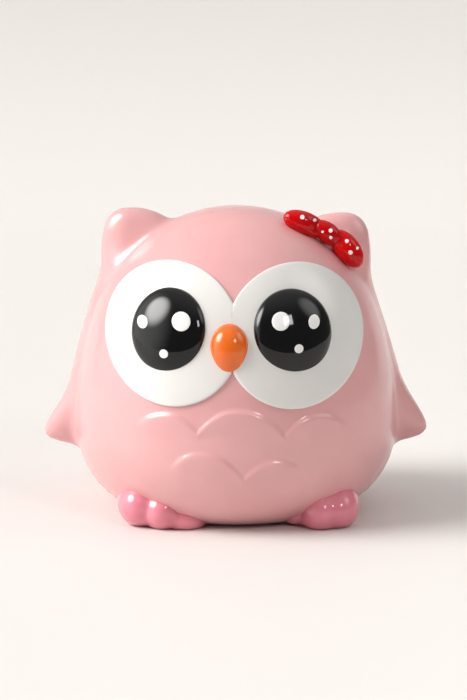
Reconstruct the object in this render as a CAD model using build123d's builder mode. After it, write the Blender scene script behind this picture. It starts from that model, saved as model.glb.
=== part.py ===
"""Owl coin bank: a hollow slip-cast body with applied reliefs, and a soft stopper in its base.

Millimetres. The owl faces -Y, +Z is up and the origin is on the table under the middle of the body.
"""

import os
from math import atan2, cos, sin, sqrt

from build123d import *

# ---- driving dimensions -------------------------------------------------------------------------
HEIGHT = 95.0  # table to crown
WIDEST_R, WIDEST_Z = 50.4, 26.0  # the body's greatest radius and its height
BASE_ARC, SIDE_ARC, CROWN_ARC = 26.77, 113.6, 46.5  # radii of the three arcs of the body's outline
WALL = 4.0  # thickness of the cast wall

RECESS_R, RECESS_DEPTH = 23.0, 5.0  # shallow hollow inside the ring that the bank stands on
OUTLET_R = 13.0  # hole in the base that the coins come out of
SLOT_LENGTH, SLOT_HEIGHT, SLOT_Z = 36.0, 5.0, 74.0  # coin slot in the back of the head

EYE_RELIEF = 1.0  # how far the white eye discs stand out of the body
BELLY_RELIEF = 0.7  # how far the breast feathers stand out
PAINT = 0.3  # thickness of the painted dots
BELLY_X = 1.5  # the breast feathers are a little off centre, as modelled by hand

CROWN_CENTRE = Vector(0, 0, HEIGHT - CROWN_ARC)


def outline_radius(z, amount=0.0):
    """Radius of the body at height z, with its wall moved outward by amount."""
    side_x = WIDEST_R - SIDE_ARC
    join_angle = atan2(CROWN_CENTRE.Z - WIDEST_Z, -side_x)
    if z < WIDEST_Z:
        return WIDEST_R - BASE_ARC + sqrt((BASE_ARC + amount) ** 2 - (z - WIDEST_Z) ** 2)
    if z < CROWN_CENTRE.Z + (CROWN_ARC + amount) * sin(join_angle):
        return side_x + sqrt((SIDE_ARC + amount) ** 2 - (z - WIDEST_Z) ** 2)
    return sqrt((CROWN_ARC + amount) ** 2 - (z - CROWN_CENTRE.Z) ** 2)


def egg(amount=0.0, floor=0.0):
    """The bare body, solid from the height floor up, with its wall moved outward by amount."""
    join_angle = atan2(CROWN_CENTRE.Z - WIDEST_Z, SIDE_ARC - WIDEST_R)
    join = (
        (CROWN_ARC + amount) * cos(join_angle),
        CROWN_CENTRE.Z + (CROWN_ARC + amount) * sin(join_angle),
    )
    widest = (WIDEST_R + amount, WIDEST_Z)
    foot = (outline_radius(floor, amount), floor)
    top = (0, HEIGHT + amount)
    with BuildPart() as solid:
        with BuildSketch(Plane.XZ):
            with BuildLine():
                Line((0, floor), foot)
                RadiusArc(foot, widest, -(BASE_ARC + amount))
                RadiusArc(widest, join, -(SIDE_ARC + amount))
                RadiusArc(join, top, -(CROWN_ARC + amount))
                Line(top, (0, floor))
            make_face()
        revolve(axis=Axis.Z)
    return solid.part


def spheroid(radius, half_length, centre, turn=(0, 0, 0)):
    """A solid of an ellipse revolved about its own Z axis, then turned and moved to its place."""
    with BuildPart() as solid:
        with BuildSketch(Plane.XZ):
            Ellipse(radius, half_length)
            with Locations((-radius, 0)):
                Rectangle(2 * radius, 4 * half_length, mode=Mode.SUBTRACT)
        revolve(axis=Axis.Z)
    return solid.part.moved(Location(centre, turn))


def front_point(x, z, amount=0.0):
    """The point on the front of the body at (x, z), as seen from the front."""
    return Vector(x, -sqrt(outline_radius(z, amount) ** 2 - x**2), z)


# ---- body casting -------------------------------------------------------------------------------
EAR_THICKNESS, EAR_EDGE = 16.0, 5.5
EAR_DISH_R, EAR_DISH_DEPTH = 11.0, 2.5  # the shallow hollow in the front of each ear
WING_THICKNESS, WING_EDGE = 18.0, 3.0
WING_Y = 2.0

with BuildPart() as ear:
    with BuildSketch(Plane.XZ.offset(EAR_THICKNESS / 2)):
        with BuildLine():
            Line((20, 66), (42.2, 66))
            Line((42.2, 66), (42.2, 86))
            RadiusArc((42.2, 86), (34.0, 94.2), -8.2)
            Line((34.0, 94.2), (20, 90.5))
            Line((20, 90.5), (20, 66))
        make_face()
    extrude(amount=-EAR_THICKNESS)
    outer_edges = ear.edges().filter_by(Plane.XZ).filter_by(lambda e: e.center().Z > 67 and e.center().X > 21)
    fillet(outer_edges, EAR_EDGE)
    with Locations((33, -EAR_THICKNESS / 2 - EAR_DISH_R + EAR_DISH_DEPTH, 85.5)):
        Sphere(EAR_DISH_R, mode=Mode.SUBTRACT)

with BuildPart() as wing:
    with BuildSketch(Plane.XZ.offset(WING_THICKNESS / 2 - WING_Y)):
        with BuildLine():
            Line((36, 70), (36, 19))
            Line((36, 19), (48.5, 19.5))
            TangentArc((48.5, 19.5), (57.6, 20.6), tangent=(1, -0.05))
            RadiusArc((57.6, 20.6), (59.6, 25.2), -3.4)
            RadiusArc((59.6, 25.2), (45.5, 62), 60)
            Line((45.5, 62), (36, 70))
        make_face()
    extrude(amount=-WING_THICKNESS)
    outer_edges = wing.edges().filter_by(Plane.XZ).filter_by(lambda e: e.center().X > 44)
    fillet(outer_edges, WING_EDGE)

# Breast feathers: two rows of scallops, each (offset from the breast's middle, top, half width).
UPPER_ROW = [(-23.2, 36.6, 12.2), (0.0, 38.6, 13.0), (23.2, 36.6, 12.2)]
LOWER_ROW = [(-10.6, 24.6, 11.6), (10.6, 23.4, 10.6)]
SCALLOP_HEIGHT = 11.0

with BuildPart() as feathers:
    for offset_x, top, half_width in UPPER_ROW + LOWER_ROW:
        with BuildSketch(Plane.XZ.offset(WIDEST_R / 2)):
            with Locations((BELLY_X + offset_x, top - SCALLOP_HEIGHT)):
                Ellipse(half_width, SCALLOP_HEIGHT)
        extrude(amount=WIDEST_R)
    add(egg(BELLY_RELIEF), mode=Mode.INTERSECT)

with BuildPart() as outside:
    add(egg())
    add(ear.part)
    add(ear.part.mirror(Plane.YZ))
    add(wing.part)
    add(wing.part.mirror(Plane.YZ))
    add(feathers.part)

with BuildPart() as body_shell:
    add(outside.part)
    add(egg(-WALL, RECESS_DEPTH + WALL), mode=Mode.SUBTRACT)
    with BuildSketch(Plane.XY):
        Circle(RECESS_R)
    extrude(amount=RECESS_DEPTH, mode=Mode.SUBTRACT)
    with BuildSketch(Plane.XY.offset(RECESS_DEPTH)):
        Circle(OUTLET_R)
    extrude(amount=WALL, mode=Mode.SUBTRACT)
    with BuildSketch(Plane.XZ):
        with Locations((0, SLOT_Z)):
            SlotOverall(SLOT_LENGTH, SLOT_HEIGHT)
    extrude(amount=-HEIGHT, mode=Mode.SUBTRACT)

# ---- eyes, seen from the front: each disc is (x, z, half width, half height) ---------------------
FACE_X = -1.3  # the line between the two discs; the face is set a little to the owl's right
EYE_DISCS = {"right": (-19.1, 60.0, 20.2, 20.6), "left": (17.2, 59.5, 20.7, 20.7)}
PUPIL_RISE = 3.2  # how far each pupil swells out of its disc


def eye_disc(x, z, half_width, half_height):
    """A thin elliptical plate that follows the head, cut off square at the line between the eyes."""
    beyond = FACE_X + (HEIGHT if x < FACE_X else -HEIGHT)
    with BuildPart() as disc:
        with BuildSketch(Plane.XZ.offset(15)):
            with Locations((x, z)):
                Ellipse(half_width, half_height)
            with Locations((beyond, z)):
                Rectangle(2 * HEIGHT, 2 * HEIGHT, mode=Mode.SUBTRACT)
        extrude(amount=WIDEST_R)
        add(egg(EYE_RELIEF), mode=Mode.INTERSECT)
        add(egg(), mode=Mode.SUBTRACT)
    return disc.part


with BuildPart() as right_eye_disc:
    add(eye_disc(*EYE_DISCS["right"]))

with BuildPart() as left_eye_disc:
    add(eye_disc(*EYE_DISCS["left"]))


def pupil_ball(x, z, radius):
    """The sphere that a pupil is the cap of: its radius and its centre."""
    crown = front_point(x, z, EYE_RELIEF)
    outward = (crown - CROWN_CENTRE).normalized()
    cap_height = PUPIL_RISE + radius**2 / (2 * CROWN_ARC)
    ball_radius = (radius**2 + cap_height**2) / (2 * cap_height)
    centre = crown - outward * (ball_radius - PUPIL_RISE)
    return ball_radius, (centre.X, centre.Y, centre.Z)


def pupil(x, z, radius):
    ball_radius, centre = pupil_ball(x, z, radius)
    with BuildPart() as solid:
        with Locations(centre):
            Sphere(ball_radius)
        add(egg(EYE_RELIEF), mode=Mode.SUBTRACT)
    return solid.part


def painted_dots(dots, covered, ball_radius, centre):
    """Thin round dots of paint on a ball, each (x, z, radius) as seen from the front."""
    with BuildPart() as solid:
        for x, z, radius in dots:
            with BuildSketch(Plane.XZ.offset(-centre[1])):
                with Locations((x, z)):
                    Circle(radius)
            extrude(amount=WIDEST_R)
        with Locations(centre):
            Sphere(ball_radius + PAINT, mode=Mode.INTERSECT)
        add(covered, mode=Mode.SUBTRACT)
        with Locations(centre):
            Sphere(ball_radius, mode=Mode.SUBTRACT)
    return solid.part


RIGHT_PUPIL = (-20.8, 61.7, 12.3)
LEFT_PUPIL = (17.2, 61.6, 12.3)
RIGHT_DOTS = [(-16.3, 63.8, 2.8), (-27.6, 62.6, 1.8), (-21.6, 54.3, 1.3)]
LEFT_DOTS = [(12.9, 63.7, 2.7), (23.0, 63.3, 1.9), (18.3, 55.9, 1.3)]

with BuildPart() as right_pupil:
    add(pupil(*RIGHT_PUPIL))

with BuildPart() as left_pupil:
    add(pupil(*LEFT_PUPIL))

with BuildPart() as right_pupil_dots:
    add(painted_dots(RIGHT_DOTS, right_pupil.part, *pupil_ball(*RIGHT_PUPIL)))

with BuildPart() as left_pupil_dots:
    add(painted_dots(LEFT_DOTS, left_pupil.part, *pupil_ball(*LEFT_PUPIL)))

# ---- beak ---------------------------------------------------------------------------------------
BEAK_X, BEAK_Z, BEAK_R, BEAK_HALF = -2.1, 56.4, 5.7, 7.2
BEAK_LEAN = 12.0
beak_at = front_point(BEAK_X, BEAK_Z, -0.6)

with BuildPart() as beak:
    add(spheroid(BEAK_R, BEAK_HALF, (beak_at.X, beak_at.Y, beak_at.Z), (-BEAK_LEAN, 0, 0)))
    add(egg(), mode=Mode.SUBTRACT)
    add(right_eye_disc.part, mode=Mode.SUBTRACT)
    add(left_eye_disc.part, mode=Mode.SUBTRACT)

# ---- feet: each toe is (x, y, z, radius, half length), a rounded lump pointing forward ------------
RIGHT_TOES = [(-29.2, -28.6, 5.4, 6.4, 9.8), (-21.8, -30.4, 5.0, 5.6, 9.6), (-15.0, -31.8, 2.2, 4.6, 7.8)]
LEFT_TOES = [(29.0, -28.2, 5.2, 7.2, 10.6), (19.8, -31.6, 2.6, 4.8, 8.0)]


def foot(toes):
    with BuildPart() as solid:
        for x, y, z, radius, half_length in toes:
            add(spheroid(radius, half_length, (x, y, z), (90, 0, 0)))
        with Locations((0, 0, HEIGHT / 2)):
            Box(2 * HEIGHT, 2 * HEIGHT, HEIGHT, mode=Mode.INTERSECT)
        add(outside.part, mode=Mode.SUBTRACT)
    return solid.part


with BuildPart() as right_foot:
    add(foot(RIGHT_TOES))

with BuildPart() as left_foot:
    add(foot(LEFT_TOES))

# ---- bow at the foot of the left ear --------------------------------------------------------------
INNER_LOOP = (4.0, 7.4, (20.6, -13.0, 91.0), (0, 114, 0))
OUTER_LOOP = (4.3, 6.6, (34.2, -13.0, 83.4), (0, 137, 0))
KNOT_R, KNOT_CENTRE = 3.7, (28.6, -13.5, 87.6)
INNER_DOTS = [(17.4, 91.6), (20.4, 93.2), (22.4, 89.4)]
KNOT_DOTS = [(27.6, 89.0), (29.6, 86.4)]
OUTER_DOTS = [(33.4, 85.6), (34.8, 81.8), (37.4, 83.4)]
BOW_DOT_R = 0.7

with BuildPart() as bow_knot:
    with Locations(KNOT_CENTRE):
        Sphere(KNOT_R)
    add(outside.part, mode=Mode.SUBTRACT)

with BuildPart() as bow_inner_loop:
    add(spheroid(*INNER_LOOP))
    add(outside.part, mode=Mode.SUBTRACT)
    add(bow_knot.part, mode=Mode.SUBTRACT)

with BuildPart() as bow_outer_loop:
    add(spheroid(*OUTER_LOOP))
    add(outside.part, mode=Mode.SUBTRACT)
    add(bow_knot.part, mode=Mode.SUBTRACT)


def bow_dots_on(dots, grown, covered):
    with BuildPart() as solid:
        for x, z in dots:
            with BuildSketch(Plane.XZ.offset(-KNOT_CENTRE[1])):
                with Locations((x, z)):
                    Circle(BOW_DOT_R)
            extrude(amount=KNOT_R * 3)
        add(grown, mode=Mode.INTERSECT)
        add(covered, mode=Mode.SUBTRACT)
    return solid.part


def grown_loop(radius, half_length, centre, turn):
    return spheroid(radius + PAINT, half_length + PAINT, centre, turn)


with BuildPart() as grown_knot:
    with Locations(KNOT_CENTRE):
        Sphere(KNOT_R + PAINT)

with BuildPart() as bow_dots:
    add(bow_dots_on(INNER_DOTS, grown_loop(*INNER_LOOP), bow_inner_loop.part))
    add(bow_dots_on(OUTER_DOTS, grown_loop(*OUTER_LOOP), bow_outer_loop.part))
    add(bow_dots_on(KNOT_DOTS, grown_knot.part, bow_knot.part))

# ---- stopper: soft flange, hollow ribbed skirt, and a grip bar across a dish in its underside ------
STOPPER_PLAY = 0.05  # between the ribs and the hole, and between the flange and the base
FLANGE_R, FLANGE_THICKNESS = 17.5, 2.6
SKIRT_R, SKIRT_WALL, SKIRT_LENGTH = OUTLET_R - 0.4, 1.6, 6.0
RIB_HEIGHT, RIB_STEPS = 0.8, (1.2, 2.8)
DISH_R, DISH_DEPTH, GRIP_WIDTH = 9.0, 1.5, 3.0
SEAT_Z = RECESS_DEPTH - STOPPER_PLAY

with BuildPart() as stopper:
    with BuildSketch(Plane.XY.offset(SEAT_Z - FLANGE_THICKNESS)):
        Circle(FLANGE_R)
    extrude(amount=FLANGE_THICKNESS)
    with BuildSketch(Plane.XY.offset(SEAT_Z)):
        Circle(SKIRT_R)
    extrude(amount=SKIRT_LENGTH)
    for step in RIB_STEPS:
        with BuildSketch(Plane.XY.offset(SEAT_Z + step)):
            Circle(OUTLET_R - STOPPER_PLAY)
        extrude(amount=RIB_HEIGHT)
    with BuildSketch(Plane.XY.offset(SEAT_Z)):
        Circle(SKIRT_R - SKIRT_WALL)
    extrude(amount=SKIRT_LENGTH, mode=Mode.SUBTRACT)
    with BuildSketch(Plane.XY.offset(SEAT_Z - FLANGE_THICKNESS)):
        Circle(DISH_R)
        Rectangle(GRIP_WIDTH, 2 * DISH_R, mode=Mode.SUBTRACT)
    extrude(amount=DISH_DEPTH, mode=Mode.SUBTRACT)

# ---- export ---------------------------------------------------------------------------------------
os.makedirs("parts", exist_ok=True)

body_shell.part.label = "body_shell"
export_step(body_shell.part, "parts/body_shell.step")

right_eye_disc.part.label = "right_eye_disc"
export_step(right_eye_disc.part, "parts/right_eye_disc.step")

left_eye_disc.part.label = "left_eye_disc"
export_step(left_eye_disc.part, "parts/left_eye_disc.step")

right_pupil.part.label = "right_pupil"
export_step(right_pupil.part, "parts/right_pupil.step")

left_pupil.part.label = "left_pupil"
export_step(left_pupil.part, "parts/left_pupil.step")

right_pupil_dots.part.label = "right_pupil_dots"
export_step(right_pupil_dots.part, "parts/right_pupil_dots.step")

left_pupil_dots.part.label = "left_pupil_dots"
export_step(left_pupil_dots.part, "parts/left_pupil_dots.step")

beak.part.label = "beak"
export_step(beak.part, "parts/beak.step")

right_foot.part.label = "right_foot"
export_step(right_foot.part, "parts/right_foot.step")

left_foot.part.label = "left_foot"
export_step(left_foot.part, "parts/left_foot.step")

bow_knot.part.label = "bow_knot"
export_step(bow_knot.part, "parts/bow_knot.step")

bow_inner_loop.part.label = "bow_inner_loop"
export_step(bow_inner_loop.part, "parts/bow_inner_loop.step")

bow_outer_loop.part.label = "bow_outer_loop"
export_step(bow_outer_loop.part, "parts/bow_outer_loop.step")

bow_dots.part.label = "bow_dots"
export_step(bow_dots.part, "parts/bow_dots.step")

stopper.part.label = "stopper"
export_step(stopper.part, "parts/stopper.step")

for built in (
    body_shell, right_eye_disc, left_eye_disc, right_pupil, left_pupil, right_pupil_dots,
    left_pupil_dots, beak, right_foot, left_foot, bow_knot, bow_inner_loop, bow_outer_loop,
    bow_dots, stopper,
):
    box = built.part.bounding_box()
    print(
        f"{built.part.label}: {len(built.part.solids())} solids, {built.part.volume:.1f} mm3,",
        f"valid {built.part.is_valid}, x {box.min.X:.1f} {box.max.X:.1f},",
        f"y {box.min.Y:.1f} {box.max.Y:.1f}, z {box.min.Z:.1f} {box.max.Z:.1f}",
    )
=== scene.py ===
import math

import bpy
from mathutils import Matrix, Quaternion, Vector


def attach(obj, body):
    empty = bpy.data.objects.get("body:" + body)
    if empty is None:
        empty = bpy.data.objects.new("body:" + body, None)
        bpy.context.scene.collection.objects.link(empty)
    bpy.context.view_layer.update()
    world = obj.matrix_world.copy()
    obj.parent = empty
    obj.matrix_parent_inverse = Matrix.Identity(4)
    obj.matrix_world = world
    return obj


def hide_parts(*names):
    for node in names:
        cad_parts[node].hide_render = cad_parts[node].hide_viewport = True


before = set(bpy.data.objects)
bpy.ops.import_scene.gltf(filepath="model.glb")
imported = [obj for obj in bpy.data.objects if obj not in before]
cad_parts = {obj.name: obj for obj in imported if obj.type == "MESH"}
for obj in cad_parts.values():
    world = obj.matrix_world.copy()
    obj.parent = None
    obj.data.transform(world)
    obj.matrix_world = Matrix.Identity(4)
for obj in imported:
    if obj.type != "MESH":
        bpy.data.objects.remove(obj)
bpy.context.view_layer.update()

# %% [markdown]
# # A glazed owl coin bank
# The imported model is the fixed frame: it says where every piece is, in metres, with +Z up and the
# owl facing -Y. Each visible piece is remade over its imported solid, with the soft edges that a
# plaster mould and a thick glaze give. Right and left are the owl's own, so its left, the side with
# the bow, is +X. Sizes are written in millimetres and scaled once, in mm().

# %% [markdown]
# ## Helpers
# Edit-mode tools work on what is selected, so each helper sets the selection itself. Corners are
# picked by where they are, never by number, because a place still means something after an edit.

# %% Sizes and selection


def mm(*values):
    """Millimetres to metres: one number, or a vector of three."""
    return values[0] / 1000 if len(values) == 1 else Vector(values) / 1000


def only(piece):
    """Leave just this piece selected and active, in object mode."""
    if bpy.context.object and bpy.context.object.mode != "OBJECT":
        bpy.ops.object.mode_set(mode="OBJECT")
    bpy.ops.object.select_all(action="DESELECT")
    piece.select_set(True)
    bpy.context.view_layer.objects.active = piece


def pick(piece, test):
    """Go into edit mode with just the corners selected whose place in millimetres passes the test."""
    only(piece)
    mesh = piece.data
    for part in (mesh.polygons, mesh.edges):
        part.foreach_set("select", [False] * len(part))
    chosen = [test(corner.co * 1000) for corner in mesh.vertices]
    mesh.vertices.foreach_set("select", chosen)
    bpy.ops.object.mode_set(mode="EDIT")
    bpy.ops.mesh.select_mode(type="VERT")
    return sum(chosen)


def soft_move(by, reach):
    """Move the selected corners by millimetres, and their neighbours less and less, out to reach."""
    bpy.ops.transform.translate(
        value=mm(*by),
        use_proportional_edit=True,
        proportional_edit_falloff="SMOOTH",
        proportional_size=mm(reach),
    )
    bpy.ops.object.mode_set(mode="OBJECT")


# %% [markdown]
# Every mass starts as one of two primitives, a filled ring or a ball, and is shaped at once.

# %% Starting shapes


def new_piece(name):
    """Name the object that has just been made."""
    piece = bpy.context.object
    piece.name = piece.data.name = name
    return piece


def filled_ring(name, corners):
    """A flat round face of 1 mm radius, to be shaped in edit mode."""
    bpy.ops.object.select_all(action="DESELECT")
    bpy.ops.mesh.primitive_circle_add(vertices=corners, radius=mm(1), fill_type="NGON", location=(0, 0, 0))
    return new_piece(name)


def ball(name, centre, sizes, turn=(0, 0, 0), segments=64, rings=40):
    """A ball stretched to half sizes along its own axes, then turned, all in millimetres."""
    bpy.ops.object.select_all(action="DESELECT")
    bpy.ops.mesh.primitive_uv_sphere_add(
        segments=segments, ring_count=rings, radius=mm(1), location=mm(*centre), rotation=turn, scale=sizes
    )
    piece = new_piece(name)
    bpy.ops.object.transform_apply(location=True, rotation=True, scale=True)
    return piece


# %% [markdown]
# Modifiers are applied as soon as they are set, so each step works on real corners and faces.

# %% Finishing steps


def finish_with(piece, kind, **settings):
    """Add one modifier with its settings and apply it."""
    only(piece)
    step = piece.modifiers.new(kind.title(), kind)
    for key, value in settings.items():
        setattr(step, key, value)
    bpy.ops.object.modifier_apply(modifier=step.name)


def join(name, pieces):
    """Join pieces into one, under this name."""
    only(pieces[0])
    for other in pieces[1:]:
        other.select_set(True)
    bpy.ops.object.join()
    return new_piece(name)


def outward(piece):
    """Make every face point out of a closed piece."""
    only(piece)
    bpy.ops.object.mode_set(mode="EDIT")
    bpy.ops.mesh.select_all(action="SELECT")
    bpy.ops.mesh.normals_make_consistent(inside=False)
    bpy.ops.object.mode_set(mode="OBJECT")


def say(piece):
    """Print how many faces a piece has, and its lowest and highest corner in millimetres."""
    places = [corner.co * 1000 for corner in piece.data.vertices]
    low, high = (Vector(map(end, zip(*places))).to_tuple(1) for end in (min, max))
    print(f"{piece.name}: {len(piece.data.polygons)} faces, low", low, "high", high)


# %% [markdown]
# ## The body
# The real body is cast by pouring slip into a plaster mould, so the head, ears, wings and belly are
# one skin about 4 mm thick, with no sharp edge anywhere. Box modelling could give that, but the ears
# and wings would need careful topology. It is simpler to build each mass as a closed column of level
# sections, let a voxel remesh weld the masses, and smooth the weld, as a wet sponge does to a casting.

# %% A column of level sections


def column(name, sections, corners=64):
    """Extrude a filled ring up through level sections: (z, x, half width, y, half depth) in mm."""
    z, x, width, y, depth = sections[0]
    piece = filled_ring(name, corners)
    bpy.ops.object.mode_set(mode="EDIT")
    bpy.ops.mesh.select_all(action="SELECT")
    bpy.ops.transform.resize(value=(width, depth, 1), center_override=(0, 0, 0))
    bpy.ops.transform.translate(value=mm(x, y, z))
    for z2, x2, width2, y2, depth2 in sections[1:]:
        bpy.ops.mesh.extrude_region_move(TRANSFORM_OT_translate={"value": mm(x2 - x, y2 - y, z2 - z)})
        bpy.ops.transform.resize(
            value=(width2 / width, depth2 / depth, 1), center_override=mm(x2, y2, z2)
        )
        z, x, width, y, depth = z2, x2, width2, y2, depth2
    outward(piece)
    say(piece)
    return piece


# %% [markdown]
# The bare body is round in plan. Three arcs that meet smoothly make its outline: a tight one under
# the belly, a long one up the side, and a sphere for the crown. The same outline, moved inward by
# the wall, gives the cavity.

# %% The round body
HEIGHT, WIDEST_R, WIDEST_Z = 95.0, 50.4, 26.0
BASE_ARC, SIDE_ARC, CROWN_ARC = 26.77, 113.6, 46.5
WALL, RECESS_DEPTH = 4.0, 5.0
CAVITY_FLOOR = RECESS_DEPTH + WALL


def body_radius(z, grown=0.0):
    """Radius of the bare body at height z, with the wall moved outward by grown."""
    crown_z = HEIGHT - CROWN_ARC
    join_angle = math.atan2(crown_z - WIDEST_Z, SIDE_ARC - WIDEST_R)
    if z < WIDEST_Z:
        return WIDEST_R - BASE_ARC + math.sqrt((BASE_ARC + grown) ** 2 - (z - WIDEST_Z) ** 2)
    if z < crown_z + (CROWN_ARC + grown) * math.sin(join_angle):
        return WIDEST_R - SIDE_ARC + math.sqrt((SIDE_ARC + grown) ** 2 - (z - WIDEST_Z) ** 2)
    return math.sqrt(max((CROWN_ARC + grown) ** 2 - (z - crown_z) ** 2, 0.0))


def round_body(name, grown, floor_z):
    """The bare body from floor_z up. Sections crowd together at the crown, where the outline turns in."""
    top = HEIGHT + grown
    heights = [floor_z, floor_z + 0.6, floor_z + 1.6]
    while heights[-1] < top - 4:
        heights.append(heights[-1] + min(2.4, (top - heights[-1]) / 4))
    heights += [top - drop for drop in (3.0, 2.0, 1.2, 0.6, 0.2, 0.03)]
    sections = [(z, 0, body_radius(z, grown), 0, body_radius(z, grown)) for z in heights]
    return column(name, sections, corners=96)


body = round_body("body_casting", 0.0, 0.0)
egg_form = round_body("egg_form", 0.0, 0.0)  # kept whole for a while, as the form that the discs lie on
cavity = round_body("cavity", -WALL, CAVITY_FLOOR)

# %% [markdown]
# The two ears differ a little, as they do on a hand-finished mould. Their lowest sections are deep
# inside the head, so that the weld is clean.

# %% Ears
RIGHT_EAR = [
    (60, -28.0, 13.5, -1, 11.0),
    (76, -29.3, 13.1, -1, 10.4),
    (83, -30.0, 12.4, -1, 9.4),
    (88, -30.3, 11.6, -1, 8.0),
    (91.3, -30.8, 9.6, -1, 6.4),
    (93.4, -31.8, 6.8, -1, 4.4),
    (94.6, -33.0, 3.0, -1, 1.8),
]
LEFT_EAR = [
    (60, 28.0, 13.2, -1, 11.0),
    (76, 29.2, 12.9, -1, 10.4),
    (82, 30.0, 12.1, -1, 9.4),
    (86.5, 30.3, 11.5, -1, 8.0),
    (89.8, 30.9, 9.8, -1, 6.4),
    (91.9, 31.9, 6.9, -1, 4.4),
    (93.0, 33.2, 3.2, -1, 1.8),
]
right_ear = column("right_ear", RIGHT_EAR)
left_ear = column("left_ear", LEFT_EAR)

# %% [markdown]
# The wing on each side starts under the ear as a low ridge and runs down into a short pointed
# flipper. Each section spans from a line inside the body to the wing's outer edge.

# %% Wings
WING_Y, WING_INNER = 2.5, 33.0
RIGHT_WING = [  # z, outer edge, half depth
    (80, 41.6, 9.0),
    (76, 42.4, 9.0),
    (68.5, 44.9, 9.4),
    (60.8, 47.5, 9.8),
    (53, 49.7, 10.0),
    (45.6, 51.4, 10.0),
    (40, 52.9, 9.8),
    (36, 54.5, 9.4),
    (32, 56.7, 8.6),
    (28.5, 59.2, 7.6),
    (25, 61.3, 6.4),
    (22.6, 62.2, 5.2),
    (20.8, 60.4, 4.2),
    (19.2, 55.0, 3.6),
    (18.0, 48.0, 3.2),
]
LEFT_WING = [
    (80, 41.4, 9.0),
    (76, 42.0, 9.0),
    (70.4, 42.9, 9.2),
    (62.8, 45.4, 9.8),
    (55, 48.0, 10.0),
    (47.5, 50.3, 10.0),
    (42, 51.9, 9.8),
    (38, 53.7, 9.4),
    (34, 56.1, 8.8),
    (30.0, 58.7, 8.0),
    (26.6, 60.7, 7.0),
    (24.0, 61.3, 6.0),
    (22.0, 59.8, 5.0),
    (20.4, 54.4, 4.2),
    (19.0, 47.0, 3.6),
]
right_wing, left_wing = (
    column(
        name,
        [
            (z, side * (edge + WING_INNER) / 2, (edge - WING_INNER) / 2, WING_Y, depth)
            for z, edge, depth in outline
        ],
    )
    for name, side, outline in (("right_wing", -1, RIGHT_WING), ("left_wing", 1, LEFT_WING))
)

# %% [markdown]
# Each ear is dished in front. Proportional editing pulls a patch of its front back into the ear, and
# the soft falloff leaves a round rim.

# %% Dish the ears
DISH_DEPTH, DISH_REACH = 2.0, 9
for ear, x, z in ((right_ear, -34.5, 85.0), (left_ear, 34.5, 84.0)):
    count = pick(ear, lambda c: c.y < -4 and abs(c.x - x) < 4 and abs(c.z - z) < 6)
    soft_move((0, DISH_DEPTH, 0), DISH_REACH)
    print(ear.name, "dished from", count, "corners")

# %% [markdown]
# Joined, remeshed at 1 mm and smoothed, the five masses become one skin.

# %% Weld the skin
VOXEL = 1.0
body = join("body_casting", [body, right_ear, left_ear, right_wing, left_wing])
finish_with(body, "REMESH", mode="VOXEL", voxel_size=mm(VOXEL))
finish_with(body, "SMOOTH", factor=0.5, iterations=24)
say(body)

# %% [markdown]
# Four hollows are cut from the skin with booleans: the cavity, a shallow recess under the base, the
# outlet hole for the stopper, and the coin slot in the back of the head. Each cutter runs a little
# past the skin, because a cutter that ends flush with a face leaves slivers.

# %% The cutters
RECESS_R, OUTLET_R = 23.0, 13.0
SLOT_SIZE = (36.0, 34.0, 5.0)  # length, depth through the skin, height
SLOT_Y, SLOT_Z = 38.0, 74.0
SLOT_EDGE_R = 2.4


def round_cutter(name, radius, low, high):
    return column(name, [(z, 0, radius, 0, radius) for z in (low, high)])


recess = round_cutter("recess", RECESS_R, -5.0, RECESS_DEPTH)
outlet = round_cutter("outlet", OUTLET_R, 0.0, CAVITY_FLOOR + 5.0)
bpy.ops.object.select_all(action="DESELECT")
bpy.ops.mesh.primitive_cube_add(size=1, location=(0, 0, 0))
coin_slot = new_piece("coin_slot")
bpy.ops.object.mode_set(mode="EDIT")
bpy.ops.transform.resize(value=mm(*SLOT_SIZE), center_override=(0, 0, 0))
bpy.ops.transform.translate(value=mm(0, SLOT_Y, SLOT_Z))
bpy.ops.object.mode_set(mode="OBJECT")
finish_with(coin_slot, "BEVEL", width=mm(SLOT_EDGE_R), segments=4)
say(coin_slot)

# %% [markdown]
# A second remesh and a short smoothing round every cut edge, as glaze does.

# %% Cut the hollows
for cutter in (cavity, recess, outlet, coin_slot):
    finish_with(body, "BOOLEAN", operation="DIFFERENCE", solver="EXACT", object=cutter)
    bpy.data.objects.remove(cutter)
finish_with(body, "REMESH", mode="VOXEL", voxel_size=mm(VOXEL))
finish_with(body, "SMOOTH", factor=0.5, iterations=4)
say(body)

# %% [markdown]
# ## The breast feathers
# Two rows of scallops are pressed into the mould. Each feather is a low swelling with a crisp upper
# edge that dies away downward, like a wave. It also dies away towards the feather's two ends, so
# that neighbours meet in a soft valley.

# %% How far each point of the breast swells
UPPER_ROW = [  # start (x, z), peak (x, z), end (x, z) of each feather's upper edge
    ((-30.6, 32.8), (-20.0, 37.2), (-11.4, 32.2)),
    ((-11.4, 32.2), (0.2, 38.8), (14.1, 30.9)),
    ((14.1, 30.9), (23.6, 36.6), (33.4, 31.8)),
]
LOWER_ROW = [
    ((-20.4, 20.4), (-10.4, 26.2), (2.0, 18.4)),
    ((2.0, 18.4), (11.0, 23.6), (20.9, 19.4)),
]
FEATHER_RELIEF = 0.78
EDGE_CURVE = 2.2  # 2 would make each upper edge a parabola; more makes its top flatter
LIP_LOW, LIP_HIGH = -0.9, 1.0  # the lip rises between these distances below the edge
FADE_START, FADE_AT_ENDS = 0.6, 2.5  # and dies away between these at the two ends of a feather,
FADE_EXTRA = 6.0  # and over this much more at its peak
ROW_END = 5  # a whole row fades over this length at each end


def ease(low, high, value):
    """0 up to low, 1 from high, and a smooth step between."""
    share = min(max((value - low) / (high - low), 0.0), 1.0)
    return share * share * (3 - 2 * share)


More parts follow.
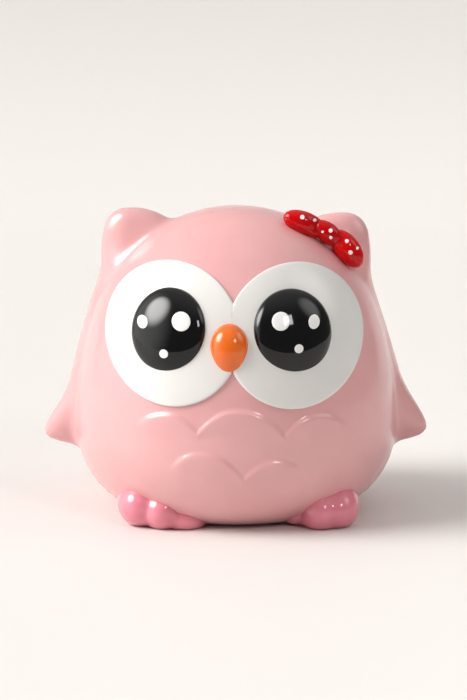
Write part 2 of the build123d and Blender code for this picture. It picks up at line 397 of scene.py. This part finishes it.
def swelling(x, z):
    """How much of the relief a point on the breast has, 0 to 1."""
    most = 0.0
    for row in (UPPER_ROW, LOWER_ROW):
        row_start, row_stop = row[0][0][0], row[-1][2][0]
        for start, peak, end in row:
            if not start[0] <= x <= end[0]:
                continue
            side = start if x < peak[0] else end
            u = abs((x - peak[0]) / (side[0] - peak[0]))
            below = side[1] + (peak[1] - side[1]) * (1 - u**EDGE_CURVE) - z
            fade = FADE_AT_ENDS + FADE_EXTRA * (1 - u * u)
            lip = ease(LIP_LOW, LIP_HIGH, below) * (1 - ease(FADE_START, fade, below))
            lip *= 0.5 + 0.5 * (1 - u * u)
            ends = ease(row_start, row_start + ROW_END, x) * (1 - ease(row_stop - ROW_END, row_stop, x))
            most = max(most, lip * ends)
    return most


print("under the middle feather's edge the relief is", round(FEATHER_RELIEF * swelling(0.2, 37.6), 2), "mm")

# %% [markdown]
# The front of the skin gets finer faces, a vertex group holds how far each corner should swell, and
# a Displace modifier lifts them.

# %% Raise the feathers
TOO_LITTLE = 0.003


def on_breast(c):
    return c.y < -28 and abs(c.x) < 37 and 6 < c.z < 41


count = pick(body, on_breast)
bpy.ops.mesh.subdivide(number_cuts=1)
bpy.ops.object.mode_set(mode="OBJECT")
feather_group = body.vertex_groups.new(name="feathers")
for corner in body.data.vertices:
    place = corner.co * 1000
    amount = swelling(place.x, place.z) if on_breast(place) else 0.0
    if amount > TOO_LITTLE:
        feather_group.add([corner.index], amount, "REPLACE")
finish_with(
    body, "DISPLACE", strength=mm(FEATHER_RELIEF), mid_level=0.0, vertex_group="feathers", direction="NORMAL"
)
print("breast refined from", count, "corners")

# %% [markdown]
# ## Eyes
# The white discs are a low step in the mould, and follow the head's curve. A flat outline with
# nested rings is laid on the round body with Shrinkwrap, thickened with Solidify, and its rim is
# rounded with Bevel. The same routine lays the painted dots on the pupils and on the bow.

# %% Lay a plate on a form
START_Y = -70  # in front of the whole bank, where a plate is still flat


def flat_plate(name, centre, size, stop_x, rings, corners):
    """A flat oval of nested rings that stands upright in front of the bank, cut off at x = stop_x."""
    plate = filled_ring(name, corners)
    plate.rotation_euler = (math.pi / 2, 0, 0)
    bpy.ops.object.transform_apply(location=False, rotation=True, scale=False)
    middle = mm(centre[0], START_Y, centre[1])
    bpy.ops.object.mode_set(mode="EDIT")
    bpy.ops.mesh.select_all(action="SELECT")
    bpy.ops.transform.resize(value=(size[0], 1, size[1]), center_override=(0, 0, 0))
    bpy.ops.transform.translate(value=middle)
    bpy.ops.object.mode_set(mode="OBJECT")
    if stop_x is not None:
        side = 1 if centre[0] < stop_x else -1
        pick(plate, lambda c: side * (c.x - stop_x) > 0)
        bpy.ops.transform.resize(value=(0, 1, 1), center_override=mm(stop_x, 0, 0))
    only(plate)
    bpy.ops.object.mode_set(mode="EDIT")
    bpy.ops.mesh.select_mode(type="FACE")
    bpy.ops.mesh.select_all(action="SELECT")
    for ring in range(rings, 0, -1):  # evenly spaced rings, down to a small face at the middle
        bpy.ops.mesh.inset(thickness=0)
        share = (ring - 0.6) / (ring + 0.4)
        bpy.ops.transform.resize(value=(share, 1, share), center_override=middle)
    bpy.ops.mesh.poke()
    bpy.ops.object.mode_set(mode="OBJECT")
    return plate


def laid_plate(name, centre, size, form, relief, sunk, rim, stop_x=None, rings=14, corners=96):
    """An oval plate laid on the front of a form: centre (x, z), half sizes (x, z), all in mm."""
    plate = flat_plate(name, centre, size, stop_x, rings, corners)
    finish_with(
        plate,
        "SHRINKWRAP",
        target=form,
        wrap_method="PROJECT",
        use_project_y=True,
        use_positive_direction=True,
        use_negative_direction=False,
    )
    thick = relief + sunk
    finish_with(
        plate, "SOLIDIFY", thickness=mm(thick), offset=(relief - sunk) / thick, use_even_offset=False
    )
    finish_with(plate, "BEVEL", width=mm(rim), segments=3, limit_method="ANGLE", angle_limit=math.radians(40))
    outward(plate)
    bpy.ops.object.shade_smooth()
    say(plate)
    return plate


# %% [markdown]
# The two discs meet at a line a little to the owl's right of the middle, where each is cut straight.

# %% White discs
FACE_X = -1.3
OVERLAP = 0.9  # each disc runs a little into the other, so that no groove is left between them
DISC_RELIEF, DISC_SUNK, DISC_RIM = 0.8, 0.9, 0.6
right_disc, left_disc = (
    laid_plate(name, centre, size, egg_form, DISC_RELIEF, DISC_SUNK, DISC_RIM, stop_x)
    for name, centre, size, stop_x in (
        ("right_eye_white", (-19.1, 60.0), (20.3, 20.6), FACE_X + OVERLAP),
        ("left_eye_white", (17.2, 59.5), (20.7, 20.7), FACE_X - OVERLAP),
    )
)

# %% [markdown]
# Each pupil is a glossy black button that swells out of its disc. A sphere is squashed, turned to
# face the way the head faces there, and its buried half is cut off with Bisect.

# %% Pupils
CROWN_CENTRE = Vector((0, 0, HEIGHT - CROWN_ARC))
DISC_FACE = 1.0  # about how far the face of a disc stands out from the bare body
PUPIL_SWELL, PUPIL_DEPTH, PUPIL_BURIED = 3.2, 5.2, 2.2


def front_of_body(x, z, grown=0.0):
    """The point of the bare body in front of (x, z), with the wall moved outward by grown."""
    return Vector((x, -math.sqrt(body_radius(z, grown) ** 2 - x * x), z))


def pupil(name, x, z, wide, tall, roll):
    """A squashed ball on a disc, leaning by roll degrees, and cut off under the surface. Half sizes in mm."""
    surface = front_of_body(x, z, DISC_FACE)
    facing = (surface - CROWN_CENTRE).normalized()
    turn = facing.to_track_quat("Z", "Y") @ Quaternion((0, 0, 1), math.radians(roll))
    centre = surface - facing * (PUPIL_DEPTH - PUPIL_SWELL)
    piece = ball(name, centre, (wide, tall, PUPIL_DEPTH), turn.to_euler(), segments=96, rings=64)
    bpy.ops.object.mode_set(mode="EDIT")
    bpy.ops.mesh.select_all(action="SELECT")
    bpy.ops.mesh.bisect(
        plane_co=mm(*(centre - facing * PUPIL_BURIED)), plane_no=facing, use_fill=True, clear_inner=True
    )
    outward(piece)
    bpy.ops.object.shade_smooth()
    say(piece)
    return piece


right_pupil = pupil("right_pupil_dome", -20.9, 61.7, 12.1, 13.0, 25)
left_pupil = pupil("left_pupil_dome", 17.2, 61.6, 12.3, 12.8, -20)

# %% [markdown]
# The sparkles in the eyes aren't reflections. They are dots of white overglaze, so they are laid as
# thin plates that stay put when the light moves.

# %% Painted dots on the pupils
RIGHT_DOTS = [((-16.2, 64.5), (2.75, 2.75)), ((-27.7, 63.7), (1.6, 1.9)), ((-21.3, 55.0), (1.3, 1.3))]
LEFT_DOTS = [((12.9, 64.7), (2.65, 2.65)), ((22.7, 64.1), (1.65, 2.05)), ((18.2, 56.7), (1.3, 1.3))]
DOT_RELIEF, DOT_SUNK, DOT_RIM = 0.18, 0.3, 0.12


def dots_on(name, dots, form):
    """Painted dots on a form, as one piece: centre (x, z) and half sizes of each."""
    laid = [
        laid_plate(f"{name}_{i}", centre, size, form, DOT_RELIEF, DOT_SUNK, DOT_RIM, rings=3, corners=40)
        for i, (centre, size) in enumerate(dots)
    ]
    return join(name, laid)


right_dots = dots_on("right_pupil_sparkles", RIGHT_DOTS, right_pupil)
left_dots = dots_on("left_pupil_sparkles", LEFT_DOTS, left_pupil)

# %% [markdown]
# ## Beak
# The beak is an egg-shaped lump, broad at the top. A sphere is stretched, and its lower end is
# drawn in with proportional editing.

# %% Beak
BEAK_X, BEAK_Z = -2.1, 56.3
BEAK_SUNK, BEAK_LEAN = 1.0, math.radians(-10)
beak_at = front_of_body(BEAK_X, BEAK_Z, -BEAK_SUNK)
beak = ball("beak_lump", beak_at, (5.9, 5.2, 7.6), (BEAK_LEAN, 0, 0))
pick(beak, lambda c: c.z < BEAK_Z - 5.0)
bpy.ops.transform.resize(
    value=(0.88, 0.92, 1.0),
    center_override=mm(*beak_at),
    use_proportional_edit=True,
    proportional_edit_falloff="SMOOTH",
    proportional_size=mm(9),
)
bpy.ops.object.mode_set(mode="OBJECT")
bpy.ops.object.shade_smooth()
say(beak)

# %% [markdown]
# ## Feet
# Each foot is a cluster of soft toes. Balls are squashed to toe size, joined, welded with a fine
# remesh, smoothed until only creases are left between the toes, and cut flat where they stand.

# %% Feet
RIGHT_TOES = [  # x, y, z, half width, half length, half height
    (-29.0, -26.4, 6.5, 7.4, 10.6, 7.4),
    (-22.4, -29.2, 5.4, 6.6, 10.0, 6.9),
    (-15.6, -29.4, 2.8, 7.2, 8.4, 5.0),
]
LEFT_TOES = [
    (30.4, -27.2, 5.6, 7.2, 10.6, 7.4),
    (25.4, -28.6, 5.2, 7.0, 10.6, 7.5),
    (18.6, -26.0, 3.2, 5.6, 7.8, 3.6),
]
TOE_VOXEL = 0.4
SOLE_Z = 0.35  # the feet end just above the table, so that the bank stands on its ring
SOLE_EDGE_R = 0.3


def foot(name, toes):
    """A cluster of toes, welded and smoothed into one piece."""
    lumps = [ball(f"{name}_toe", toe[:3], toe[3:], segments=48, rings=32) for toe in toes]
    piece = join(name, lumps)
    finish_with(piece, "REMESH", mode="VOXEL", voxel_size=mm(TOE_VOXEL))
    finish_with(piece, "SMOOTH", factor=0.5, iterations=50)
    pick(piece, lambda c: True)
    bpy.ops.mesh.bisect(plane_co=mm(0, 0, SOLE_Z), plane_no=(0, 0, 1), use_fill=True, clear_inner=True)
    finish_with(
        piece, "BEVEL", width=mm(SOLE_EDGE_R), segments=2, limit_method="ANGLE", angle_limit=math.radians(50)
    )
    outward(piece)
    bpy.ops.object.shade_smooth()
    say(piece)
    return piece


right_foot = foot("right_foot_toes", RIGHT_TOES)
left_foot = foot("left_foot_toes", LEFT_TOES)

# %% [markdown]
# ## Bow
# The bow is modelled clay: two plump loops and a knot. Each is a stretched ball, and the loops are
# dented beside the knot by pulling a few corners in.

# %% Bow loops and knot
PINCH_R = 1.2  # corners this near the place are pulled the whole way


def bow_lump(name, centre, tilt, sizes, yaw=0.0):
    """A stretched ball: long axis first, tilted down to the right by tilt degrees as seen from the front."""
    return ball(name, centre, sizes, (0, math.radians(tilt), math.radians(yaw)))


def pull(piece, place, by, reach):
    """Move the corners near a place, and their neighbours less and less, out to reach."""
    place = Vector(place)
    count = pick(piece, lambda c: (c - place).length < PINCH_R)
    soft_move(by, reach)
    return count


inner_loop = bow_lump("bow_loop_inner", (20.9, -13.4, 90.3), 23, (7.1, 3.6, 3.7), 8)
outer_loop = bow_lump("bow_loop_outer", (33.9, -13.0, 82.7), 52, (6.8, 3.9, 3.9), -4)
knot = bow_lump("bow_knot_lump", (27.9, -13.4, 87.5), 38, (5.2, 3.2, 3.2))
print("inner fold:", pull(inner_loop, (24.8, -16.2, 90.2), (0, 0.8, -0.3), 2.4), "corners pulled")
print("outer fold:", pull(outer_loop, (31.4, -16.2, 86.2), (0.1, 0.5, 0), 2.6), "corners pulled")
for piece in (inner_loop, outer_loop, knot):
    only(piece)
    bpy.ops.object.shade_smooth()
    say(piece)

# %% [markdown]
# The dots on the bow are the same overglaze as the sparkles. They are one piece, because they would
# be brushed on in one go. The round form that the discs were laid on isn't needed after this.

# %% Painted dots on the bow
INNER_DOTS = [((20.0, 92.6), 0.68), ((23.8, 91.6), 0.5)]  # centre (x, z) and radius
OUTER_DOTS = [((33.6, 85.3), 0.6), ((36.8, 83.1), 0.45), ((34.7, 81.9), 0.66)]
KNOT_DOTS = [((26.2, 88.2), 0.35), ((28.6, 88.5), 0.6), ((28.7, 86.4), 0.5)]
spots = [
    dots_on(f"spots_{form.name}", [(place, (radius, radius)) for place, radius in places], form)
    for form, places in ((inner_loop, INNER_DOTS), (outer_loop, OUTER_DOTS), (knot, KNOT_DOTS))
]
bow_spots = join("bow_spots", spots)
bpy.data.objects.remove(egg_form)

# %% [markdown]
# ## Finishes
# Everything on the casting is glaze: a thin layer of glass over coloured slip, fired until it
# flows. So each colour is a plain tint under a clear coat, a little uneven where it was brushed or
# poured. One function adds a node, and one turns an sRGB hex colour to linear.

# %% Colour and node helpers


def linear(code):
    """An sRGB hex colour, such as E8AFAF, as linear RGBA."""
    parts = [int(code[i : i + 2], 16) / 255 for i in (0, 2, 4)]
    return (*(c / 12.92 if c <= 0.04045 else ((c + 0.055) / 1.055) ** 2.4 for c in parts), 1.0)


def add_node(tree, kind, inputs=None, **settings):
    """Add one node: its settings, and its inputs as values or as the sockets to link."""
    made = tree.nodes.new(kind)
    for key, value in settings.items():
        setattr(made, key, value)
    for key, value in (inputs or {}).items():
        if isinstance(value, bpy.types.NodeSocket):
            tree.links.new(value, made.inputs[key])
        else:
            made.inputs[key].default_value = value
    return made


def noise(tree, place, size, **detail):
    """Noise whose lumps are about size millimetres across."""
    inputs = {"Vector": place, "Scale": 1000 / size, **detail}
    return add_node(tree, "ShaderNodeTexNoise", inputs).outputs["Fac"]


def bump(tree, height, strength, distance):
    inputs = {"Height": height, "Strength": strength, "Distance": mm(distance)}
    return add_node(tree, "ShaderNodeBump", inputs).outputs["Normal"]


def blend(tree, factor, first, second):
    inputs = {"Factor": factor, "A": linear(first), "B": linear(second)}
    return add_node(tree, "ShaderNodeMix", inputs, data_type="RGBA").outputs["Result"]


def start_material(name):
    """An empty material: itself, its nodes, and the place in metres on the object."""
    material = bpy.data.materials.new(name)
    material.use_nodes = True
    tree = material.node_tree
    tree.nodes.clear()
    return material, tree, add_node(tree, "ShaderNodeTexCoord").outputs["Object"]


def surface_of(tree, **inputs):
    """Close a material with a Principled shader. Underscores in the names stand for spaces."""
    named = {key.replace("_", " "): value for key, value in inputs.items()}
    shader = add_node(tree, "ShaderNodeBsdfPrincipled", named)
    add_node(tree, "ShaderNodeOutputMaterial", {"Surface": shader.outputs["BSDF"]})


# %% [markdown]
# A glaze is darker where it pooled and paler where it ran thin, in clouds about 14 mm across. A weak
# ripple keeps its highlights from looking machined.

# %% Glazes
CLOUD_MM = 14.0


def glaze(name, thin, thick, wave_mm=9.0, wave=0.03, roughness=0.12, coat=0.5, ior=1.5):
    """Coloured glaze: thin and thick are its colours where it ran thin and where it pooled."""
    material, tree, place = start_material(name)
    surface_of(
        tree,
        Base_Color=blend(tree, noise(tree, place, CLOUD_MM, Detail=3.0, Roughness=0.55), thin, thick),
        Roughness=roughness,
        IOR=ior,
        Coat_Weight=coat,
        Coat_Roughness=0.05,
        Normal=bump(tree, noise(tree, place, wave_mm, Detail=1.0), wave, 1.0),
    )
    print("glaze", name, "runs from", thin, "to", thick)
    return material


# Pale pink earthenware glaze, poured: soft sheen with small clear highlights.
pink_glaze = glaze("pink_poured_glaze", "E4ADAD", "DBA0A0", roughness=0.2, coat=0.22)
# Opaque white tin glaze, brushed on the discs.
white_glaze = glaze("white_tin_glaze", "E6E4E1", "E0DDD9", coat=0.2)
# Black glaze fired to a mirror.
black_glaze = glaze("black_mirror_glaze", "050506", "080809", wave=0.02, roughness=0.06, coat=0.0, ior=1.46)
# White overglaze dots.
white_dots = glaze("white_overglaze", "F6F5F3", "EFEEEB")
# Orange glaze on the beak.
orange_glaze = glaze("orange_glaze", "EE7420", "E06016", coat=0.2)
# Deep rose glaze on the feet, paler in some clouds and deeper in others.
rose_glaze = glaze("rose_glaze", "EA93A1", "D97686", coat=0.3)
# Red glaze on the bow, brushed thickly over the modelled clay, so it ripples most.
red_glaze = glaze("red_glaze", "DC0208", "A80004", wave_mm=3.0, wave=0.2, roughness=0.05, coat=0.0, ior=1.36)

# %% [markdown]
# The inside and the foot ring stay bare, because glaze would stick the bank to the kiln shelf.

# %% Bare clay and stopper


def bare_clay():
    """Bare fired earthenware: off-white and dull, with a fine grain."""
    material, tree, place = start_material("bisque_clay")
    grain = noise(tree, place, 0.8, Detail=4.0)
    surface_of(
        tree,
        Base_Color=blend(tree, grain, "E6DDD2", "D3C8BB"),
        Roughness=0.85,
        Normal=bump(tree, grain, 0.35, 0.3),
    )
    return material


def soft_pvc():
    """Moulded soft PVC: milky, a little see-through at its thin edges, satin with fine mould texture."""
    material, tree, place = start_material("soft_pvc")
    surface_of(
        tree,
        Base_Color=linear("D9D6CF"),
        Roughness=0.45,
        Subsurface_Weight=0.25,
        Subsurface_Scale=mm(1.5),
        Normal=bump(tree, noise(tree, place, 0.5, Detail=2.0), 0.15, 0.1),
    )
    return material


clay = bare_clay()
pvc = soft_pvc()
print("bare materials:", clay.name, "and", pvc.name)

# %% [markdown]
# The skin has two finishes, told apart by where each face is: the cavity and everything within the
# foot ring are bare, and the rest, with the lips of the slot, is glazed.

# %% Glaze the skin
RING_R, RING_Z = 29.3, 0.45  # the flat ring that the bank stands on


def dress(piece, *finishes):
    """Give a piece its materials, the first of which covers it."""
    piece.data.materials.clear()
    for finish in finishes:
        piece.data.materials.append(finish)


def is_bare(c):
    """Whether a face of the skin with this middle, in millimetres, is left unglazed."""
    out = math.hypot(c.x, c.y)
    inside = 8.0 < c.z < 93 and out < body_radius(c.z) - 2.0 and abs(c.x) < 47
    past_the_lip = c.z < 70 or out < body_radius(c.z) - 3.0
    under = c.z < 9.5 and out < RING_R and (c.z < RING_Z or out < RECESS_R + 2)
    return inside and past_the_lip or under


dress(body, pink_glaze, clay)
bare = 0
for face in body.data.polygons:
    if is_bare(face.center * 1000):
        face.material_index = 1
        bare += 1
    face.use_smooth = True
print("bare clay faces", bare, "of", len(body.data.polygons))

# %% [markdown]
# Each remade piece rides on the bank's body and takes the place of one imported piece. The stopper
# has crisp moulded edges already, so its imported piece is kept, and only gets its material.

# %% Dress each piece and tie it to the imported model
STANDS_FOR = [
    (body, "body_shell", "pink_glaze", None),
    (right_disc, "right_eye_disc", "white_glaze", white_glaze),
    (left_disc, "left_eye_disc", "white_glaze", white_glaze),
    (right_pupil, "right_pupil", "black_glaze", black_glaze),
    (left_pupil, "left_pupil", "black_glaze", black_glaze),
    (right_dots, "right_pupil_dots", "white_paint", white_dots),
    (left_dots, "left_pupil_dots", "white_paint", white_dots),
    (beak, "beak", "orange_glaze", orange_glaze),
    (right_foot, "right_foot", "rose_glaze", rose_glaze),
    (left_foot, "left_foot", "rose_glaze", rose_glaze),
    (knot, "bow_knot", "red_glaze", red_glaze),
    (inner_loop, "bow_inner_loop", "red_glaze", red_glaze),
    (outer_loop, "bow_outer_loop", "red_glaze", red_glaze),
    (bow_spots, "bow_dots", "white_paint", white_dots),
]
for piece, node, finish, material in STANDS_FOR:
    if material:
        dress(piece, material)
    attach(piece, "bank")
    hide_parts(node)
    print(piece.name, "stands for", node)
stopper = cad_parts["stopper"]
dress(stopper, pvc)

# %% [markdown]
# ## Floor, light and camera
# The floor is a pale sweep that curves up behind the bank. Its front edge is near, because a floor
# that ran on towards the viewer would be mirrored in the lower half of each pupil and grey it.

# %% Floor and sweep
FRONT_EDGE_IN = 1.08  # metres that the front edge is moved in
SWEEP_HEIGHT, SWEEP_CURVE = 1.6, 0.5
bpy.ops.object.select_all(action="DESELECT")
bpy.ops.mesh.primitive_plane_add(size=3.0, location=(0, 0, 0))
floor = new_piece("floor")
pick(floor, lambda c: c.y < 0)
bpy.ops.transform.translate(value=(0, FRONT_EDGE_IN, 0))
bpy.ops.object.mode_set(mode="OBJECT")
pick(floor, lambda c: c.y > 1000)
bpy.ops.mesh.extrude_region_move(TRANSFORM_OT_translate={"value": (0, 0, SWEEP_HEIGHT)})
bpy.ops.object.mode_set(mode="OBJECT")
finish_with(floor, "BEVEL", width=SWEEP_CURVE, segments=16)
only(floor)
bpy.ops.object.shade_smooth()
floor_paint, floor_tree, _ = start_material("pale_floor")
surface_of(floor_tree, Base_Color=linear("E3E0DD"), Roughness=0.55)
dress(floor, floor_paint)
say(floor)

# %% [markdown]
# One small lamp gives the glaze its crisp highlights.

# %% Lamp
LAMP_AT, LAMP_AIM = Vector((0.5, -0.75, 0.62)), Vector((0, 0, 0.05))
lamp = bpy.data.lights.new("lamp", "AREA")
lamp.size = 0.2
lamp.energy = 1.7
holder = bpy.data.objects.new("lamp", lamp)
bpy.context.collection.objects.link(holder)
holder.location = LAMP_AT
holder.rotation_euler = (LAMP_AIM - LAMP_AT).to_track_quat("-Z", "Y").to_euler()
print("lamp of", lamp.energy, "W at", LAMP_AT.to_tuple(2))

# %% [markdown]
# The rest of the light is a sky with four soft patches: a window high on the owl's right, the pale
# wall beside it, a weak glow on the other side, and a ceiling. Lamps would give hard-edged
# reflections there. The sky between them is dim, so that the black glaze stays black.

# %% Sky
DIM_SKY = 0.2
world = bpy.data.worlds.new("studio")
world.use_nodes = True
sky = world.node_tree
sky.nodes.clear()
direction = add_node(sky, "ShaderNodeTexCoord").outputs["Generated"]


def glow(towards, start, strength):
    """A soft patch of sky: nothing at the dot product start, full towards its middle."""
    facing = add_node(sky, "ShaderNodeVectorMath", {0: direction, 1: towards}, operation="DOT_PRODUCT")
    return add_node(
        sky,
        "ShaderNodeMapRange",
        {
            "Value": facing.outputs["Value"],
            "From Min": start,
            "From Max": 1.0,
            "To Min": 0.0,
            "To Max": strength,
        },
        interpolation_type="SMOOTHSTEP",
    ).outputs["Result"]


PATCHES = [
    ((-0.79, -0.17, 0.6), 0.935, 14.0),  # window
    ((-0.96, -0.02, 0.28), 0.66, 1.7),  # wall
    ((0.78, -0.08, 0.62), 0.94, 2.2),  # glow on the other side
    ((0, 0.17, 0.985), 0.4, 0.5),  # ceiling
]
level = DIM_SKY
for patch in PATCHES:
    level = add_node(sky, "ShaderNodeMath", {0: glow(*patch), 1: level}, operation="ADD").outputs["Value"]
backdrop = add_node(sky, "ShaderNodeBackground", {"Color": linear("F6F4F2"), "Strength": level})
add_node(sky, "ShaderNodeOutputWorld", {"Surface": backdrop.outputs["Background"]})
bpy.context.scene.world = world
bpy.context.scene.view_settings.view_transform = "Standard"
print("sky with", len(PATCHES), "soft patches")

# %% [markdown]
# The camera looks a little down at the owl's face, through a long lens that keeps its proportions.

# %% Camera
LOOK_DOWN, DISTANCE = math.radians(8.5), 0.65
AIM = Vector((-0.0009, 0.0, 0.0494))
lens = bpy.data.cameras.new("camera")
lens.sensor_width = 36
lens.lens = 106.3
camera = bpy.data.objects.new("camera", lens)
bpy.context.collection.objects.link(camera)
camera.location = AIM - DISTANCE * Vector((0, math.cos(LOOK_DOWN), -math.sin(LOOK_DOWN)))
camera.rotation_euler = (math.pi / 2 - LOOK_DOWN, 0, 0)
bpy.context.scene.camera = camera
print("camera at", camera.location.to_tuple(3))
